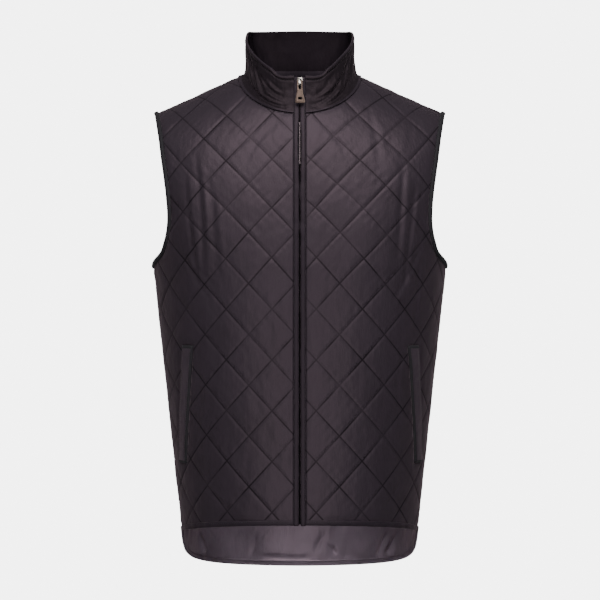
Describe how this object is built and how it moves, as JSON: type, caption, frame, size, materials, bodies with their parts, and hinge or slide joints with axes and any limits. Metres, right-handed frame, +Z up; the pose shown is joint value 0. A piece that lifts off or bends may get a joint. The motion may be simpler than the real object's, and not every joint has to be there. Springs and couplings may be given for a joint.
{
  "type": "quilted vest",
  "caption": "Sleeveless diamond-quilted vest in its worn, hollow form, with a stand-up collar, a full front zip, slanted welt pockets and a longer rounded back tail.",
  "frame": {"origin": "midway between the two points where the shoulders meet the neck, where the wearer's shoulders hold the vest", "axes": "+Z up, the front faces -Y, and the wearer's left is +X"},
  "size_m": [0.4438, 0.2913, 0.828],
  "materials": {
    "shell_nylon": "plain-woven nylon with a soft sheen, quilted over wadding",
    "plain_nylon": "plain-woven nylon with a soft sheen, unquilted",
    "placket_nylon": "folded nylon strip",
    "binding_tape": "matt folded binding tape",
    "zip_teeth": "fine metal zip teeth",
    "zip_metal": "antique nickel plate over cast zinc, worn bright on its edges"
  },
  "bodies": {
    "vest": {"front_left": "shell_nylon", "front_right": "shell_nylon", "back": "shell_nylon", "back_yoke": "shell_nylon", "collar": "plain_nylon", "pocket_welt_left": "plain_nylon", "pocket_welt_right": "plain_nylon", "hem_band_left": "plain_nylon", "hem_band_right": "plain_nylon", "hem_band_back": "plain_nylon", "zip_strip_left": "placket_nylon", "zip_strip_right": "placket_nylon", "armhole_binding_left": "binding_tape", "armhole_binding_right": "binding_tape", "zip_chain": "zip_teeth", "slider": "zip_metal"},
    "tab": {"pull_tab": "zip_metal"}
  },
  "joints": [
    {"name": "tab_swing", "type": "hinge", "parent": "vest", "child": "tab", "pos_m": [0, -0.09255, -0.02657], "axis": [-1, 0, 0], "range_deg": [0, 160]}
  ]
}
